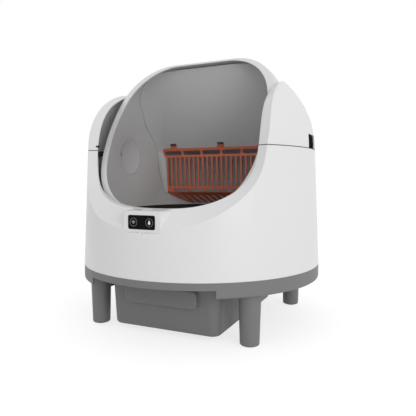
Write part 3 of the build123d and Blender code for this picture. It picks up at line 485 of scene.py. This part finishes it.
def settle(piece: bpy.types.Object, name: str) -> bpy.types.Object:
    """Names a finished piece and moves its place into its mesh.

    Args:
        piece: The piece.
        name: Its name.

    Returns:
        The same piece.
    """
    only(piece)
    bpy.ops.object.transform_apply(location=True, rotation=True, scale=True)
    piece.name = name
    piece.data.name = name
    return piece


def dress(piece: bpy.types.Object, finish: Finish, body: str) -> None:
    """Gives a new piece its finish and lets it ride on a body.

    Args:
        piece: The piece.
        finish: Its finish.
        body: The CAD body that it moves with.
    """
    piece.data.materials.clear()
    piece.data.materials.append(finish.material())
    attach(piece, body)
    LOG.info("piece %s on %s: %d faces", piece.name, body, len(piece.data.polygons))


def seen_directly(tree: bpy.types.NodeTree) -> Socket:
    """Adds nodes that tell what the camera sees, straight, in a shine or through glass.

    Args:
        tree: The node tree of a material or the world.

    Returns:
        A value of 1 for the camera's own view and 0 for the light on the object.
    """
    path = tree.nodes.new("ShaderNodeLightPath")
    seen = path.outputs["Is Camera Ray"]
    for ray in ("Is Glossy Ray", "Is Transmission Ray"):
        either = tree.nodes.new("ShaderNodeMath")
        either.operation = "MAXIMUM"
        tree.links.new(seen, either.inputs[0])
        tree.links.new(path.outputs[ray], either.inputs[1])
        seen = either.outputs[0]
    return seen


# The object's pieces


@dataclass
class CadDress:
    """Puts each CAD node's finish on it, by the slot that the record gives it."""

    record: dict = field(default_factory=lambda: frame["record"])

    def build(self) -> None:
        """Dresses every CAD node. The first finish of a slot is the node's own."""
        finishes = {finish.slot: finish for finish in reversed(Finish)}
        for row in self.record["subparts"]:
            node = frame["nodes"][row["node"]]
            node.data.materials.clear()
            node.data.materials.append(finishes[row["material_slot"]].material())
            LOG.info("node %s: %s", row["node"], row["material_slot"])


@dataclass
class Studio:
    """The camera at the photograph's viewpoint, the pale floor and the soft light."""

    lens: float = 38.605
    sensor_width: float = 36.0
    clip_start: float = 0.01
    clip_end: float = 100.0
    camera_place: Place = (0.4499, -0.9557, 0.3157)
    right: Place = (0.9105, 0.4136, 0.0)
    ahead: Place = (-0.4128, 0.9087, -0.0616)
    floor_radius: float = 9.0
    floor_points: int = 96
    floor_tone: float = 0.8
    floor_shadow_tone: float = 0.40
    floor_glow: float = 0.74
    world_light: float = 0.70
    world_white: float = 1.0
    key_place: Place = (2.2, -1.6, 1.0)
    key_size: float = 1.6
    key_power: float = 20.0
    key_aim: Place = (0, 0, 0.32)

    def camera(self) -> None:
        """Places the camera."""
        right = Vector(self.right).normalized()
        ahead = Vector(self.ahead).normalized()
        up = right.cross(ahead).normalized()
        right = ahead.cross(up).normalized()
        bpy.ops.object.camera_add()
        camera = bpy.context.object
        camera.name = "photo_camera"
        camera.data.lens = self.lens
        camera.data.sensor_width = self.sensor_width
        camera.data.clip_start = self.clip_start
        camera.data.clip_end = self.clip_end
        turn = Matrix((right, up, -ahead)).transposed().to_4x4()
        camera.matrix_world = Matrix.Translation(self.camera_place) @ turn
        bpy.context.scene.camera = camera

    def floor(self) -> None:
        """Makes the floor, white to the camera but with the object's shadow kept."""
        deselect()
        bpy.ops.mesh.primitive_circle_add(
            vertices=self.floor_points, radius=self.floor_radius, fill_type="NGON"
        )
        floor = bpy.context.object
        floor.name = "studio_floor"
        bench = NodeBench("studio_floor_white")
        bench.tree.nodes.remove(bench.shader)
        matt = bench.add("ShaderNodeBsdfDiffuse")
        matt.inputs["Color"].default_value = (*[self.floor_tone] * 3, 1)
        pale = bench.add("ShaderNodeBsdfDiffuse")
        pale.inputs["Color"].default_value = (*[self.floor_shadow_tone] * 3, 1)
        glow = bench.add("ShaderNodeEmission")
        glow.inputs["Strength"].default_value = self.floor_glow
        lit = bench.add("ShaderNodeAddShader")
        bench.join(pale.outputs[0], lit.inputs[0])
        bench.join(glow.outputs[0], lit.inputs[1])
        mix = bench.add("ShaderNodeMixShader")
        bench.join(seen_directly(bench.tree), mix.inputs[0])
        bench.join(matt.outputs[0], mix.inputs[1])
        bench.join(lit.outputs[0], mix.inputs[2])
        bench.join(mix.outputs[0], bench.output.inputs["Surface"])
        floor.data.materials.append(bench.material)

    def world(self) -> None:
        """Makes the world: white where it is seen, softer where it lights."""
        world = bpy.data.worlds.new("studio_world")
        bpy.context.scene.world = world
        world.use_nodes = True
        tree = world.node_tree
        tree.nodes.clear()
        output = tree.nodes.new("ShaderNodeOutputWorld")
        back = tree.nodes.new("ShaderNodeBackground")
        span = tree.nodes.new("ShaderNodeMapRange")
        span.inputs["To Min"].default_value = self.world_light
        span.inputs["To Max"].default_value = self.world_white
        tree.links.new(seen_directly(tree), span.inputs["Value"])
        tree.links.new(span.outputs["Result"], back.inputs["Strength"])
        back.inputs["Color"].default_value = (1, 1, 1, 1)
        tree.links.new(back.outputs[0], output.inputs["Surface"])

    def key_lamp(self) -> None:
        """Adds the one soft lamp, which shines at the middle of the object."""
        bpy.ops.object.light_add(type="AREA", location=self.key_place)
        lamp = bpy.context.object
        lamp.name = "key_lamp"
        lamp.data.shape = "SQUARE"
        lamp.data.size = self.key_size
        lamp.data.energy = self.key_power
        aim = Vector(self.key_aim) - Vector(self.key_place)
        lamp.rotation_mode = "QUATERNION"
        lamp.rotation_quaternion = aim.to_track_quat("-Z", "Y")

    def build(self) -> None:
        """Sets up the whole studio."""
        bpy.context.scene.view_settings.view_transform = "Standard"
        self.camera()
        self.floor()
        self.world()
        self.key_lamp()
        LOG.info("studio ready")


@dataclass
class PanelIcons:
    """The two touch icons on the dark glass: rings with a fan mark and a droplet."""

    centre_height: float = 0.2386
    spread: float = 0.0170
    ring_radius: float = 0.0075
    ring_width: float = 0.0009
    relief: float = 0.00012
    fan_reach: float = 0.0058
    fan_foot: float = -0.0032
    fan_half_turn: float = math.radians(44)
    fan_bands: tuple[tuple[float, float], ...] = ((0.04, 0.34), (0.47, 0.68), (0.80, 1.0))
    arc_points: int = 48
    ring_section_points: int = 8
    upright: Place = (math.pi / 2, 0, 0)
    drop_radius: float = 0.0024
    drop_centre: float = -0.0014
    drop_tip: float = 0.0058
    drop_pull_reach: float = 0.0048
    merge_distance: float = 0.000001

    def face(self) -> float:
        """The Y of the glass's front face."""
        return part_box("control_panel")[0].y

    def ring(self, side: int) -> bpy.types.Object:
        """Makes one icon's ring.

        Args:
            side: -1 for the left icon, 1 for the right.

        Returns:
            The ring.
        """
        deselect()
        bpy.ops.mesh.primitive_torus_add(
            major_radius=self.ring_radius,
            minor_radius=self.ring_width / 2,
            major_segments=self.arc_points,
            minor_segments=self.ring_section_points,
            location=(side * self.spread, self.face(), self.centre_height),
            rotation=self.upright,
        )
        ring = bpy.context.object
        ring.scale.z = self.relief * 2 / self.ring_width
        return ring

    def fan_band(self, outer: float, inner: float) -> bpy.types.Object:
        """Makes one band of the fan mark: an arc, drawn in towards the fan's foot.

        Args:
            outer: The band's outer radius.
            inner: The band's inner radius.

        Returns:
            The band.
        """
        foot = (-self.spread, self.face(), self.centre_height + self.fan_foot)
        deselect()
        bpy.ops.mesh.primitive_circle_add(
            vertices=self.arc_points,
            radius=outer,
            fill_type="NOTHING",
            location=foot,
            rotation=self.upright,
        )
        band = bpy.context.object
        bpy.ops.object.mode_set(mode="EDIT")
        for side in (-1, 1):
            bpy.ops.mesh.select_all(action="SELECT")
            away = (side * math.cos(self.fan_half_turn), 0, -math.sin(self.fan_half_turn))
            bpy.ops.mesh.bisect(plane_co=foot, plane_no=away, clear_outer=True)
        bpy.ops.mesh.select_all(action="SELECT")
        bpy.ops.mesh.extrude_region_move()
        bpy.ops.transform.resize(value=(inner / outer,) * 3, center_override=foot)
        bpy.ops.object.mode_set(mode="OBJECT")
        return self.thicken(band)

    def fan(self) -> bpy.types.Object:
        """Makes the fan mark of the left icon.

        Returns:
            The mark as one piece.
        """
        bands = [
            self.fan_band(self.fan_reach * outer, self.fan_reach * inner)
            for inner, outer in self.fan_bands
        ]
        deselect()
        for band in bands:
            band.select_set(True)
        bpy.context.view_layer.objects.active = bands[0]
        bpy.ops.object.join()
        return bands[0]

    def drop(self) -> bpy.types.Object:
        """Makes the droplet of the right icon: a disc whose top is drawn out to a tip.

        Returns:
            The droplet.
        """
        centre = Vector((self.spread, self.face(), self.centre_height + self.drop_centre))
        deselect()
        bpy.ops.mesh.primitive_circle_add(
            vertices=self.arc_points,
            radius=self.drop_radius,
            fill_type="NGON",
            location=centre,
            rotation=self.upright,
        )
        drop = bpy.context.object
        only(drop)
        bpy.ops.object.transform_apply(location=True, rotation=True)
        bpy.ops.object.mode_set(mode="EDIT")
        bpy.ops.mesh.select_mode(type="VERT")
        bpy.ops.mesh.select_all(action="DESELECT")
        bpy.ops.object.mode_set(mode="OBJECT")
        max(drop.data.vertices, key=lambda corner: corner.co.z).select = True
        bpy.ops.object.mode_set(mode="EDIT")
        bpy.ops.transform.translate(
            value=(0, 0, self.drop_tip - self.drop_radius),
            use_proportional_edit=True,
            proportional_edit_falloff="SHARP",
            proportional_size=self.drop_pull_reach,
        )
        bpy.ops.object.mode_set(mode="OBJECT")
        return self.thicken(drop)

    def thicken(self, mark: bpy.types.Object) -> bpy.types.Object:
        """Gives a flat mark the small thickness of a print.

        Args:
            mark: The flat mark.

        Returns:
            The same mark, solid.
        """
        only(mark)
        skin = mark.modifiers.new("thickness", "SOLIDIFY")
        skin.thickness = self.relief * 2
        skin.offset = 0
        bpy.ops.object.modifier_apply(modifier=skin.name)
        bpy.ops.object.mode_set(mode="EDIT")
        bpy.ops.mesh.select_all(action="SELECT")
        bpy.ops.mesh.remove_doubles(threshold=self.merge_distance)
        bpy.ops.mesh.normals_make_consistent(inside=False)
        bpy.ops.object.mode_set(mode="OBJECT")
        return mark

    def build(self) -> None:
        """Makes and dresses both icons."""
        for side, name in ((-1, "left_icon_ring"), (1, "right_icon_ring")):
            dress(settle(self.ring(side), name), Finish.ICON, "housing")
        dress(settle(self.fan(), "left_icon_fan"), Finish.MARK, "housing")
        dress(settle(self.drop(), "right_icon_drop"), Finish.LIT, "housing")


def main() -> None:
    """Builds the studio, the finishes and the added pieces."""
    logging.basicConfig(level=logging.INFO)
    Studio().build()
    CadDress().build()
    PanelIcons().build()


if __name__ == "__main__":
    main()
